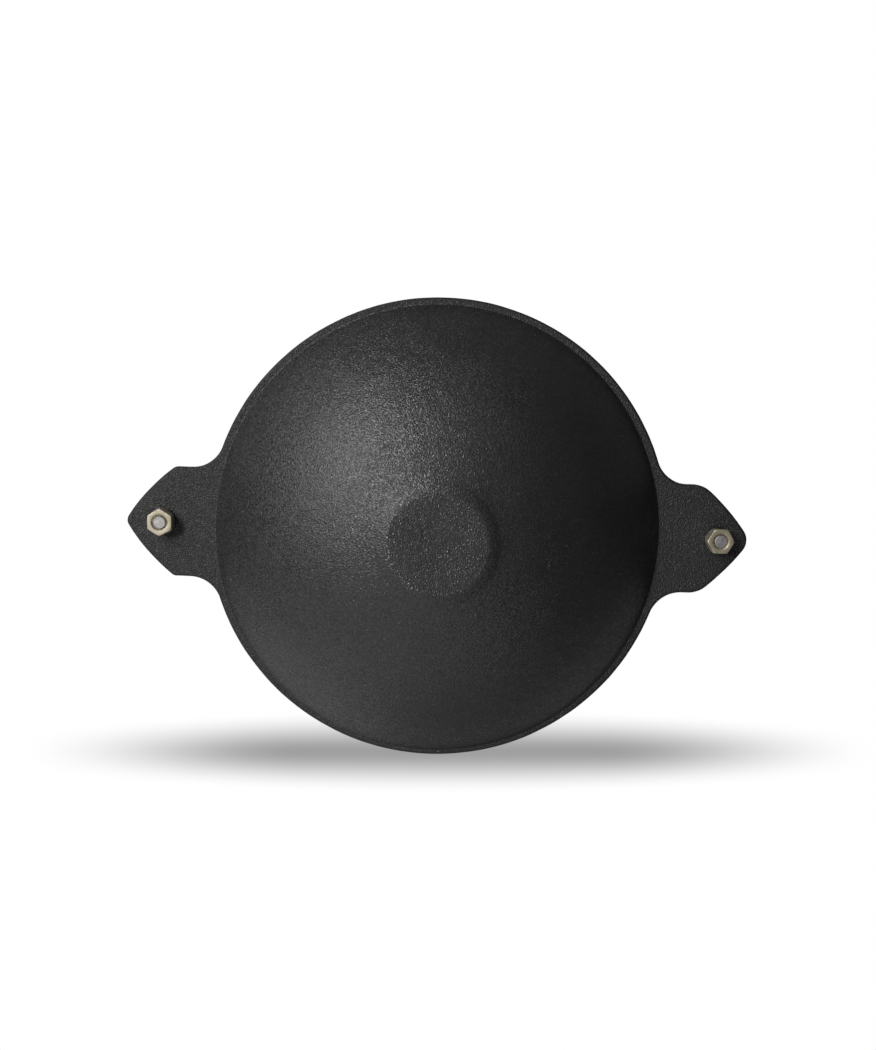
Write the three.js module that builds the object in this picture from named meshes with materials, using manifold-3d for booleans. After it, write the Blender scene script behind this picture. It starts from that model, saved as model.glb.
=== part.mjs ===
// Cast-iron appam pan: one cast bowl with a flat rim, a round foot and two pointed lugs,
// and on each lug an upright turned wooden knob, held by a screw, a nut and two washers.
// Millimetres, +Z up. The origin is the centre of the foot's underside; the lugs lie along X.

import * as THREE from 'three';
import { mergeVertices } from 'three/addons/utils/BufferGeometryUtils.js';
import Module from 'manifold-3d';

// Casting: bowl, rim and foot
const PAN_HEIGHT = 58;
const RIM_RADIUS = 127;
const RIM_WIDTH = 4.6;
const RIM_THICKNESS = 6.5;
const LEDGE_WIDTH = 3.3;
const FLOOR_THICKNESS = 4;
const FOOT_RADIUS = 22.5;
const FOOT_EDGE_RADIUS = 20;
const FOOT_SLOPE = THREE.MathUtils.degToRad(23.5);
const FOOT_SLOPE_WIDTH = 0.6;
const FOOT_BLEND_WIDTH = 4;
const FOOT_CUT_DEPTH = 1;
const EDGE_RADIUS = 1.5;

// Lugs: length beyond the rim, half the width, and the fillets that run into the rim
const LUG_LENGTH = 44.2;
const LUG_HALF_WIDTH = 30.4;
const LUG_FILLET_RADIUS = 17.6;

// Each lug's own outline, and its screw's hole behind the tip: the two aren't cast quite alike
const LEFT_LUG = { straight: 7.4, shoulderRadius: 4, flankRadius: 106, tipRadius: 5, holeInset: 19.7 };
const RIGHT_LUG = { straight: 3.6, shoulderRadius: 15, flankRadius: 134, tipRadius: 9.2, holeInset: 16.7 };

// Turned wooden knobs
const KNOB_HEIGHT = 48;
const KNOB_BASE_RADIUS = 12.5;
const KNOB_WAIST_RADIUS = 10;
const KNOB_WAIST_HEIGHT = 15;
const KNOB_CROWN_RADIUS = 14.5;
const KNOB_CROWN_DROP = 12;
const KNOB_EDGE_RADIUS = 1.2;
const KNOB_LIP_WIDTH = 1.4;
const SCREW_RECESS = 2.4;

// M8 screw, nut and washers
const SCREW_RADIUS = 4;
const SCREW_END_CHAMFER = 0.6;
const HEAD_RADIUS = 6.5;
const HEAD_HEIGHT = 5;
const HEAD_EDGE_RADIUS = 1.2;
const SLOT_WIDTH = 2;
const SLOT_DEPTH = 2.2;
const NUT_ACROSS_FLATS = 13;
const NUT_HEIGHT = 6.5;
const NUT_CHAMFER_ANGLE = THREE.MathUtils.degToRad(30);
const FLAT_WASHER_RADIUS = 8;
const FLAT_WASHER_THICKNESS = 1.6;
const SPRING_WASHER_RADIUS = 7.4;
const SPRING_WASHER_THICKNESS = 2;
const SPRING_WASHER_GAP = 1.2;
const SPRING_WASHER_SLANT = THREE.MathUtils.degToRad(25);

// Clearances
const THREAD_CLEARANCE = 0.3;
const WASHER_CLEARANCE = 0.3;
const HOLE_CLEARANCE = 0.5;
const RECESS_CLEARANCE = 0.6;
const CUT_MARGIN = 5;

// Facets of a full turn and of a short arc
const BOWL_FACETS = 72;
const KNOB_FACETS = 30;
const FASTENER_FACETS = 24;
const LONG_ARC_STEPS = 10;
const SHORT_ARC_STEPS = 3;
const RIM_HALF_STEPS = 28;
const LUG_ARC_STEPS = 6;

// Each lug's side of the pan, and how far its nut happens to be turned
const SIDES = [
  { name: 'left', heading: Math.PI, lug: LEFT_LUG, nutTurn: Math.PI / 6 },
  { name: 'right', heading: 0, lug: RIGHT_LUG, nutTurn: 0 },
];

const LEDGE_Z = PAN_HEIGHT - RIM_THICKNESS;
const BOWL_RADIUS = RIM_RADIUS - LEDGE_WIDTH;
const TIP_REACH = RIM_RADIUS + LUG_LENGTH;
const HOLE_RADIUS = SCREW_RADIUS + HOLE_CLEARANCE;
const RECESS_RADIUS = Math.max(FLAT_WASHER_RADIUS, HEAD_RADIUS) + RECESS_CLEARANCE;
const RECESS_DEPTH = SCREW_RECESS + HEAD_HEIGHT + FLAT_WASHER_THICKNESS;
const RECESS_FLOOR_Z = PAN_HEIGHT + KNOB_HEIGHT - RECESS_DEPTH;
const HEAD_SEAT_Z = RECESS_FLOOR_Z + FLAT_WASHER_THICKNESS;
const NUT_SEAT_Z = LEDGE_Z - SPRING_WASHER_THICKNESS;
const SCREW_END_Z = NUT_SEAT_Z - NUT_HEIGHT;

const IRON = new THREE.MeshStandardMaterial({ color: 0x2c2b2b, roughness: 0.7, metalness: 0.3 });
const WOOD = new THREE.MeshStandardMaterial({ color: 0x8a552f, roughness: 0.55, metalness: 0 });
const STEEL = new THREE.MeshStandardMaterial({ color: 0x8f8f8c, roughness: 0.45, metalness: 1 });
const ZINC = new THREE.MeshStandardMaterial({ color: 0xb9a77a, roughness: 0.4, metalness: 1 });
const SPRING_STEEL = new THREE.MeshStandardMaterial({ color: 0x4a4947, roughness: 0.5, metalness: 1 });

const wasm = await Module();
wasm.setup();

// A closed geometry as a solid: vertices shared, and triangles without area left out.
function toSolid(geometry) {
  geometry.deleteAttribute('normal');
  geometry.deleteAttribute('uv');
  const welded = mergeVertices(geometry);
  const corners = welded.index.array;
  const triangles = [];
  for (let i = 0; i < corners.length; i += 3) {
    const [a, b, c] = corners.slice(i, i + 3);
    if (a !== b && b !== c && c !== a) {
      triangles.push(a, b, c);
    }
  }
  const mesh = new wasm.Mesh({
    numProp: 3,
    vertProperties: welded.attributes.position.array,
    triVerts: new Uint32Array(triangles),
  });
  return new wasm.Manifold(mesh);
}

// A solid as a named mesh in its material.
function toMesh(name, solid, material) {
  const { vertProperties, triVerts } = solid.getMesh();
  const geometry = new THREE.BufferGeometry();
  geometry.setAttribute('position', new THREE.BufferAttribute(vertProperties, 3));
  geometry.setIndex(new THREE.BufferAttribute(triVerts, 1));
  geometry.computeVertexNormals();
  const mesh = new THREE.Mesh(geometry, material);
  mesh.name = name;
  return mesh;
}

function point(x, y) {
  return new THREE.Vector2(x, y);
}

// Points along an arc, both ends included.
function arc(centre, radius, from, to, steps) {
  const curve = new THREE.EllipseCurve(centre.x, centre.y, radius, radius, from, to, to < from);
  return curve.getPoints(steps);
}

// A profile of radius and height, turned about the Z axis.
function revolve(profile, facets) {
  return toSolid(new THREE.LatheGeometry(profile, facets).rotateX(Math.PI / 2));
}

// A ring or tube of rectangular section.
function ring(innerRadius, outerRadius, bottom, top, facets) {
  const section = [
    point(innerRadius, bottom),
    point(outerRadius, bottom),
    point(outerRadius, top),
    point(innerRadius, top),
    point(innerRadius, bottom),
  ];
  return revolve(section, facets);
}

// A plain round bar on the axis, for holes.
function rod(radius, bottom, top, facets) {
  return revolve([point(0, bottom), point(radius, bottom), point(radius, top), point(0, top)], facets);
}

// The ball that a bowl surface belongs to, from the surface's lowest point and its edge.
function ballThrough(lowestZ, edgeRadius, edgeZ) {
  const depth = edgeZ - lowestZ;
  const radius = (edgeRadius ** 2 + depth ** 2) / (2 * depth);
  return { radius, centre: point(0, lowestZ + radius) };
}

// The bowl's outside: a ball, flattened by the foot's low step, up to the inside of the rim.
function bowlOutside() {
  const ball = ballThrough(-FOOT_CUT_DEPTH, BOWL_RADIUS, LEDGE_Z);
  const edgeCentre = point(FOOT_RADIUS, FOOT_EDGE_RADIUS);
  const footEdge = arc(edgeCentre, FOOT_EDGE_RADIUS, -Math.PI / 2, FOOT_SLOPE - Math.PI / 2, SHORT_ARC_STEPS);
  const slope = point(FOOT_SLOPE_WIDTH, FOOT_SLOPE_WIDTH * Math.tan(FOOT_SLOPE));
  const footBase = footEdge.at(-1).clone().add(slope);
  const blendAngle = Math.asin((footBase.x + FOOT_BLEND_WIDTH) / ball.radius) - Math.PI / 2;
  const ledgeAngle = Math.asin(BOWL_RADIUS / ball.radius) - Math.PI / 2;
  const rimMiddle = LEDGE_Z + RIM_THICKNESS / 2;
  const profile = [
    point(0, 0),
    ...footEdge,
    footBase,
    ...arc(ball.centre, ball.radius, blendAngle, ledgeAngle, LONG_ARC_STEPS),
    point(BOWL_RADIUS, rimMiddle),
    point(0, rimMiddle),
  ];
  return revolve(profile, BOWL_FACETS);
}

// The space inside the bowl, which flares over the rim's rounded inner edge.
function bowlInside() {
  const ball = ballThrough(FLOOR_THICKNESS, RIM_RADIUS - RIM_WIDTH, PAN_HEIGHT);
  const edgeDrop = ball.centre.y - PAN_HEIGHT + EDGE_RADIUS;
  const edgeRadius = Math.sqrt((ball.radius + EDGE_RADIUS) ** 2 - edgeDrop ** 2);
  const edgeCentre = point(edgeRadius, PAN_HEIGHT - EDGE_RADIUS);
  const meetingAngle = Math.atan2(edgeDrop, -edgeRadius);
  const top = PAN_HEIGHT + CUT_MARGIN;
  const profile = [
    ...arc(ball.centre, ball.radius, -Math.PI / 2, meetingAngle - Math.PI, LONG_ARC_STEPS),
    ...arc(edgeCentre, EDGE_RADIUS, meetingAngle, Math.PI / 2, SHORT_ARC_STEPS).slice(1),
    point(edgeRadius, top),
    point(0, top),
  ];
  profile[0].x = 0;
  return revolve(profile, BOWL_FACETS);
}

// The centre of the flank's arc, which runs smoothly into the shoulder's and the tip's.
function flankCentre(shoulder, tip, { shoulderRadius, flankRadius, tipRadius }) {
  const run = tip.clone().sub(shoulder);
  const toShoulder = flankRadius - shoulderRadius;
  const toTip = flankRadius - tipRadius;
  const cosine = (toShoulder ** 2 + run.lengthSq() - toTip ** 2) / (2 * toShoulder * run.length());
  const inward = run.angle() - Math.acos(cosine);
  return shoulder.clone().add(point(toShoulder * Math.cos(inward), toShoulder * Math.sin(inward)));
}

// A lug's outline, pointing to the right, from its lower meeting with the rim to its upper one:
// a fillet, a straight edge, a rounded shoulder, a slightly bowed flank and a rounded tip.
function lugOutline(lug) {
  const { straight, shoulderRadius, flankRadius, tipRadius } = lug;
  const filletHeight = LUG_HALF_WIDTH + LUG_FILLET_RADIUS;
  const filletReach = Math.sqrt((RIM_RADIUS + LUG_FILLET_RADIUS) ** 2 - filletHeight ** 2);
  const meetingAngle = Math.atan2(filletHeight, filletReach);
  const shoulder = point(filletReach + straight, LUG_HALF_WIDTH - shoulderRadius);
  const tip = point(TIP_REACH - tipRadius, 0);
  const flank = flankCentre(shoulder, tip, lug);
  const shoulderAngle = shoulder.clone().sub(flank).angle();
  const tipAngle = tip.clone().sub(flank).angle();
  const upper = [
    ...arc(flank, flankRadius, tipAngle, shoulderAngle, LUG_ARC_STEPS).slice(1, -1),
    ...arc(shoulder, shoulderRadius, shoulderAngle, Math.PI / 2, LUG_ARC_STEPS),
    ...arc(point(filletReach, filletHeight), LUG_FILLET_RADIUS, -Math.PI / 2, meetingAngle - Math.PI,
      LUG_ARC_STEPS),
  ];
  const lower = upper.map((p) => point(p.x, -p.y)).reverse();
  const outline = [...lower, ...arc(tip, tipRadius, -tipAngle, tipAngle, LUG_ARC_STEPS), ...upper];
  return { outline, meetingAngle };
}

// The flat plate of the rim and both lugs, with rounded edges and not yet opened.
function rimPlate() {
  const left = lugOutline(LEFT_LUG);
  const right = lugOutline(RIGHT_LUG);
  const rimEnd = Math.PI - left.meetingAngle;
  const rimHalf = arc(point(0, 0), RIM_RADIUS, right.meetingAngle, rimEnd, RIM_HALF_STEPS).slice(1, -1);
  const rightHalf = [...right.outline, ...rimHalf];
  const leftHalf = [...left.outline, ...rimHalf].map((p) => point(-p.x, -p.y));
  const shape = new THREE.Shape([...rightHalf, ...leftHalf]);
  const geometry = new THREE.ExtrudeGeometry(shape, {
    depth: RIM_THICKNESS - 2 * EDGE_RADIUS,
    bevelThickness: EDGE_RADIUS,
    bevelSize: EDGE_RADIUS,
    bevelOffset: -EDGE_RADIUS,
    bevelSegments: SHORT_ARC_STEPS,
  });
  return toSolid(geometry.translate(0, 0, LEDGE_Z + EDGE_RADIUS));
}

// The place of one lug's screw along the X axis.
function holePlace({ heading, lug }) {
  return (TIP_REACH - lug.holeInset) * Math.cos(heading);
}

// The whole casting: plate and bowl joined, then opened and drilled.
function panBody() {
  let body = rimPlate().add(bowlOutside()).subtract(bowlInside());
  for (const side of SIDES) {
    const hole = rod(HOLE_RADIUS, LEDGE_Z - CUT_MARGIN, PAN_HEIGHT + CUT_MARGIN, FASTENER_FACETS);
    body = body.subtract(hole.translate(holePlace(side), 0, 0));
  }
  return body;
}

// A turned knob on its lug: a waist, a full crown and a recess for the screw's head.
function knob() {
  const base = PAN_HEIGHT;
  const waist = base + KNOB_WAIST_HEIGHT;
  const top = base + KNOB_HEIGHT;
  const crown = top - KNOB_CROWN_DROP;
  const lipRadius = RECESS_RADIUS + KNOB_LIP_WIDTH;
  const swell = (fromRadius, fromZ, toRadius, toZ) => {
    const middle = (fromZ + toZ) / 2;
    const curve = new THREE.CubicBezierCurve(
      point(fromRadius, fromZ),
      point(fromRadius, middle),
      point(toRadius, middle),
      point(toRadius, toZ),
    );
    return curve.getPoints(LONG_ARC_STEPS / 2);
  };
  const edge = point(KNOB_BASE_RADIUS - KNOB_EDGE_RADIUS, base + KNOB_EDGE_RADIUS);
  const crownSpan = KNOB_CROWN_RADIUS - lipRadius;
  const crownArc = new THREE.EllipseCurve(lipRadius, crown, crownSpan, top - crown, 0, Math.PI / 2);
  const profile = [
    point(HOLE_RADIUS, base),
    ...arc(edge, KNOB_EDGE_RADIUS, -Math.PI / 2, 0, SHORT_ARC_STEPS),
    ...swell(KNOB_BASE_RADIUS, base + KNOB_EDGE_RADIUS, KNOB_WAIST_RADIUS, waist).slice(1),
    ...swell(KNOB_WAIST_RADIUS, waist, KNOB_CROWN_RADIUS, crown).slice(1),
    ...crownArc.getPoints(LONG_ARC_STEPS / 2).slice(1),
    point(RECESS_RADIUS, top),
    point(RECESS_RADIUS, RECESS_FLOOR_Z),
    point(HOLE_RADIUS, RECESS_FLOOR_Z),
    point(HOLE_RADIUS, base),
  ];
  return revolve(profile, KNOB_FACETS);
}

// A cheese-head screw, head up, from the knob's recess to the nut's outer face.
function screw() {
  const headTop = HEAD_SEAT_Z + HEAD_HEIGHT;
  const headEdge = point(HEAD_RADIUS - HEAD_EDGE_RADIUS, headTop - HEAD_EDGE_RADIUS);
  const profile = [
    point(0, SCREW_END_Z),
    point(SCREW_RADIUS - SCREW_END_CHAMFER, SCREW_END_Z),
    point(SCREW_RADIUS, SCREW_END_Z + SCREW_END_CHAMFER),
    point(SCREW_RADIUS, HEAD_SEAT_Z),
    point(HEAD_RADIUS, HEAD_SEAT_Z),
    ...arc(headEdge, HEAD_EDGE_RADIUS, 0, Math.PI / 2, SHORT_ARC_STEPS),
    point(0, headTop),
  ];
  const slotLength = 2 * HEAD_RADIUS + CUT_MARGIN;
  const slot = new THREE.BoxGeometry(SLOT_WIDTH, slotLength, 2 * SLOT_DEPTH).translate(0, 0, headTop);
  return revolve(profile, FASTENER_FACETS).subtract(toSolid(slot));
}

function flatWasher() {
  const bore = SCREW_RADIUS + WASHER_CLEARANCE;
  return ring(bore, FLAT_WASHER_RADIUS, RECESS_FLOOR_Z, HEAD_SEAT_Z, FASTENER_FACETS);
}

// A split spring washer, pressed flat: a ring with a slanting cut on its outer side.
function springWasher() {
  const bore = SCREW_RADIUS + WASHER_CLEARANCE;
  const whole = ring(bore, SPRING_WASHER_RADIUS, NUT_SEAT_Z, LEDGE_Z, FASTENER_FACETS);
  const cutHeight = SPRING_WASHER_THICKNESS + CUT_MARGIN;
  const cut = new THREE.BoxGeometry(SPRING_WASHER_RADIUS, SPRING_WASHER_GAP, cutHeight);
  cut.rotateX(SPRING_WASHER_SLANT);
  cut.translate((bore + SPRING_WASHER_RADIUS) / 2, 0, (NUT_SEAT_Z + LEDGE_Z) / 2);
  return whole.subtract(toSolid(cut));
}

// A hexagon nut with the corners of both faces chamfered.
function nut() {
  const flatRadius = NUT_ACROSS_FLATS / 2;
  const cornerRadius = flatRadius / Math.cos(Math.PI / 6);
  const chamfer = (cornerRadius - flatRadius) * Math.tan(NUT_CHAMFER_ANGLE);
  const corners = [];
  for (let i = 0; i < 6; i += 1) {
    const angle = (i * Math.PI) / 3;
    corners.push(point(cornerRadius * Math.cos(angle), cornerRadius * Math.sin(angle)));
  }
  const prism = new THREE.ExtrudeGeometry(new THREE.Shape(corners), {
    depth: NUT_HEIGHT,
    bevelEnabled: false,
  });
  const turned = [
    point(0, SCREW_END_Z),
    point(flatRadius, SCREW_END_Z),
    point(cornerRadius, SCREW_END_Z + chamfer),
    point(cornerRadius, NUT_SEAT_Z - chamfer),
    point(flatRadius, NUT_SEAT_Z),
    point(0, NUT_SEAT_Z),
  ];
  const boreRadius = SCREW_RADIUS + THREAD_CLEARANCE;
  const bore = rod(boreRadius, SCREW_END_Z - CUT_MARGIN, NUT_SEAT_Z + CUT_MARGIN, FASTENER_FACETS);
  return toSolid(prism.translate(0, 0, SCREW_END_Z))
    .intersect(revolve(turned, 2 * FASTENER_FACETS))
    .subtract(bore);
}

// One lug's knob with its fasteners, on the screw's axis.
function knobSet(side) {
  const { name, heading, nutTurn } = side;
  const set = new THREE.Group();
  const nutMesh = toMesh(`${name}_hex_nut`, nut(), ZINC);
  nutMesh.rotation.z = nutTurn;
  set.add(
    toMesh(`${name}_knob`, knob(), WOOD),
    toMesh(`${name}_screw`, screw(), STEEL),
    toMesh(`${name}_flat_washer`, flatWasher(), STEEL),
    toMesh(`${name}_spring_washer`, springWasher(), SPRING_STEEL),
    nutMesh,
  );
  set.rotation.z = heading;
  set.position.set(holePlace(side), 0, 0);
  return set;
}

const pan = new THREE.Group();
pan.add(toMesh('pan_body', panBody(), IRON));
for (const side of SIDES) {
  pan.add(knobSet(side));
}

export default pan;
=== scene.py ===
"""Dressed scene of a cast-iron appam pan with two turned wooden knobs.

The casting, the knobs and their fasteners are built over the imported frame, in the places and
sizes of its nodes, on a plain pale stage. Sizes in the classes are millimetres, meshes are metres.
"""

import logging
import math
from collections.abc import Callable, Mapping, Sequence
from dataclasses import dataclass
from enum import Enum

import bmesh
import bpy
import numpy as np
from mathutils import Matrix, Vector


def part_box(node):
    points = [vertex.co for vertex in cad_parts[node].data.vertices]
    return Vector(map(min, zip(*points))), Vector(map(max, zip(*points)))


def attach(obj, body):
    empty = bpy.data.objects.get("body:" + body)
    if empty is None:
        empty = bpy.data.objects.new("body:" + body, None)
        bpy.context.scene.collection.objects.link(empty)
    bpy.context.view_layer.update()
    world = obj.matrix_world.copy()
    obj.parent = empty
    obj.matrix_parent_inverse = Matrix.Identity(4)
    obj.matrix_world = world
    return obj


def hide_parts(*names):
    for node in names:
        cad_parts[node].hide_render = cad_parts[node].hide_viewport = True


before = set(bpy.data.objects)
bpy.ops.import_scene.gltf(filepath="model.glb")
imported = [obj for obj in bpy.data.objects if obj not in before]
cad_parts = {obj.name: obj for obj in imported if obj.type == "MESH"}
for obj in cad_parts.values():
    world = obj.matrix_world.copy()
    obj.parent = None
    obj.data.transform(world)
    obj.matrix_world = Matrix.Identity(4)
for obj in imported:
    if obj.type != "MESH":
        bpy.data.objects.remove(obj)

LOG = logging.getLogger("appam_pan")
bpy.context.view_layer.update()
MM = 0.001
BODY = "root"

Colour = tuple[float, float, float]
Point = tuple[float, float]
Faces = list[tuple[int, ...]]
Bend = list[tuple[float, ...]]


@dataclass(frozen=True)
class LugShape:
    """The sizes in which one lug differs from the other, in millimetres."""

    straight: float
    shoulder: float
    flank: float
    tip: float
    screw_reach: float


class Side(Enum):
    """The lug that a knob stands on."""

    LEFT = "left"
    RIGHT = "right"

    @property
    def heading(self) -> float:
        """The lug's angle about the pan's axis."""
        return math.pi if self is Side.LEFT else 0.0

    @property
    def nut_turn(self) -> float:
        """How far this lug's nut happens to be turned."""
        return math.pi / 6 if self is Side.LEFT else 0.0

    @property
    def lug(self) -> LugShape:
        """This lug's own outline and drilling.

        Returns:
            The sizes in which it differs.
        """
        if self is Side.LEFT:
            return LugShape(straight=7.4, shoulder=4.0, flank=106.0, tip=5.0, screw_reach=151.5)
        return LugShape(straight=3.6, shoulder=15.0, flank=134.0, tip=9.2, screw_reach=154.5)

    @property
    def screw_place(self) -> float:
        """Where this lug's screw stands on the X axis, in millimetres."""
        return self.lug.screw_reach * math.cos(self.heading)


def operator(operation: str, swapped: bool = False) -> Callable[["Signal", "Signal | float"], "Signal"]:
    """Makes an operator of Signal from a Math node.

    Args:
        operation: The Math node's operation.
        swapped: Whether the signal itself comes second.

    Returns:
        The operator's method.
    """

    def method(self: "Signal", other: "Signal | float") -> "Signal":
        """Adds the node and gives its value."""
        return self.bench.maths(operation, *((other, self) if swapped else (self, other)))

    return method


class Signal:
    """A node's output that takes part in Python expressions on values."""

    __add__ = operator("ADD")
    __radd__ = operator("ADD", swapped=True)
    __sub__ = operator("SUBTRACT")
    __rsub__ = operator("SUBTRACT", swapped=True)
    __mul__ = operator("MULTIPLY")
    __rmul__ = operator("MULTIPLY", swapped=True)
    __truediv__ = operator("DIVIDE")
    __rtruediv__ = operator("DIVIDE", swapped=True)
    __pow__ = operator("POWER")
    at_most = operator("MINIMUM")
    at_least = operator("MAXIMUM")

    def __init__(self, bench: "NodeBench", socket: bpy.types.NodeSocket) -> None:
        """Wraps one output socket of a bench's tree."""
        self.bench = bench
        self.socket = socket

    def __abs__(self) -> "Signal":
        """The value without its sign."""
        return self.bench.maths("ABSOLUTE", self)

    def output(self, name: str | int) -> "Signal":
        """Another output of the same node."""
        return Signal(self.bench, self.socket.node.outputs[name])

    def rise(self, low: float, high: float) -> "Signal":
        """A smooth step, which leaves 0 at the low value and reaches 1 at the high one."""
        sockets = {"Value": self, "From Min": low, "From Max": high}
        return self.bench.add("ShaderNodeMapRange", {"interpolation_type": "SMOOTHSTEP"}, sockets)

    def band(self, low: float, high: float, soft: float) -> "Signal":
        """A smooth band from 0 to 1 between two values, with sides of a width."""
        up = self.rise(low - soft / 2, low + soft / 2)
        return up * (1.0 - self.rise(high - soft / 2, high + soft / 2))


class NodeBench:
    """Builds nodes in one tree."""

    def __init__(self, tree: bpy.types.NodeTree) -> None:
        """Starts with an empty tree."""
        self.tree = tree
        tree.nodes.clear()

    def add(
        self,
        kind: str,
        settings: Mapping[str, object] | None = None,
        sockets: Mapping[str | int, object] | None = None,
        output: str | int = 0,
    ) -> Signal:
        """Adds a node.

        Args:
            kind: The node's type.
            settings: Its properties, which are set first.
            sockets: Values or signals for its inputs, by name or place.
            output: The output to return, by name or place.

        Returns:
            That output, or a signal without a socket for a node that has none.
        """
        node = self.tree.nodes.new(kind)
        for name, value in (settings or {}).items():
            setattr(node, name, value)
        for key, value in (sockets or {}).items():
            if isinstance(value, Signal):
                self.tree.links.new(value.socket, node.inputs[key])
            else:
                node.inputs[key].default_value = value
        return Signal(self, node.outputs[output] if len(node.outputs) else None)

    def maths(self, operation: str, *terms: Signal | float) -> Signal:
        """The value of a new Math node with these inputs."""
        return self.add("ShaderNodeMath", {"operation": operation}, dict(enumerate(terms)))

    def vector_maths(self, operation: str, *terms: Signal | Colour) -> Signal:
        """The vector of a new Vector Math node with these inputs."""
        return self.add("ShaderNodeVectorMath", {"operation": operation}, dict(enumerate(terms)))

    def axes(self, vector: Signal) -> tuple[Signal, Signal, Signal]:
        """The three parts of a vector."""
        x = self.add("ShaderNodeSeparateXYZ", sockets={0: vector})
        return x, x.output(1), x.output(2)

    def vector(self, x: Signal | float, y: Signal | float, z: Signal | float) -> Signal:
        """A vector of three values."""
        return self.add("ShaderNodeCombineXYZ", sockets={0: x, 1: y, 2: z})

    def length(self, x: Signal, y: Signal, z: Signal | float = 0.0) -> Signal:
        """The length of a vector of three values."""
        return self.vector_maths("LENGTH", self.vector(x, y, z)).output("Value")

    def scaled(self, vector: Signal, factor: Signal | float) -> Signal:
        """A vector times a number."""
        return self.add("ShaderNodeVectorMath", {"operation": "SCALE"}, {0: vector, "Scale": factor})

    def noise(self, vector: Signal, size: float, detail: float = 2.0, roughness: float = 0.5) -> Signal:
        """Smooth noise from 0 to 1, with features of a size in the vector's unit and finer layers."""
        sockets = {"Vector": vector, "Scale": 1.0 / size, "Detail": detail, "Roughness": roughness}
        return self.add("ShaderNodeTexNoise", {"noise_dimensions": "3D"}, sockets)

    def cells(self, vector: Signal, size: float) -> Signal:
        """The distance from the nearest of scattered points, in steps of a size."""
        sockets = {"Vector": vector, "Scale": 1.0 / size}
        return self.add("ShaderNodeTexVoronoi", {"feature": "F1"}, sockets)

    def blend(self, factor: Signal, first: Signal | Colour, second: Signal | Colour) -> Signal:
        """The colour between two, by the share of the second."""
        ends = [c if isinstance(c, Signal) else (*c, 1.0) for c in (first, second)]
        return self.add("ShaderNodeMix", {"data_type": "RGBA"}, {0: factor, 6: ends[0], 7: ends[1]}, 2)


class MaterialBench(NodeBench):
    """Builds one material around a Principled shader."""

    def __init__(self, name: str) -> None:
        """Starts an empty material.

        Args:
            name: Its name.
        """
        self.material = bpy.data.materials.new(name)
        self.material.use_nodes = True
        super().__init__(self.material.node_tree)

    def millimetres(self) -> Signal:
        """The place on the piece, in millimetres."""
        return self.scaled(self.add("ShaderNodeTexCoord", output="Object"), 1 / MM)

    def attribute(self, name: str) -> Signal:
        """A value kept in the piece's mesh."""
        return self.add("ShaderNodeAttribute", {"attribute_name": name}, output="Fac")

    def facets(self, crystal: Signal, tilt: Signal) -> Signal:
        """The normal of a surface of small facets.

        Args:
            crystal: A random colour for each facet.
            tilt: How far the facets lean.

        Returns:
            The normal.
        """
        leaning = self.scaled(self.vector_maths("SUBTRACT", crystal, (0.5, 0.5, 0.5)), tilt)
        normal = self.add("ShaderNodeNewGeometry", output="Normal")
        return self.vector_maths("NORMALIZE", self.vector_maths("ADD", normal, leaning))

    def relief(self, height: Signal, **below: Signal) -> Signal:
        """The normal of a surface with a height in millimetres, over a Normal if one is given."""
        sockets = {"Height": height, "Distance": MM, "Strength": 1.0, **below}
        return self.add("ShaderNodeBump", sockets=sockets)

    def finish(self, sockets: Mapping[str, object]) -> bpy.types.Material:
        """Closes the material.

        Args:
            sockets: The Principled shader's inputs.

        Returns:
            The material.
        """
        shader = self.add("ShaderNodeBsdfPrincipled", sockets=sockets)
        self.add("ShaderNodeOutputMaterial", sockets={"Surface": shader})
        return self.material


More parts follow.
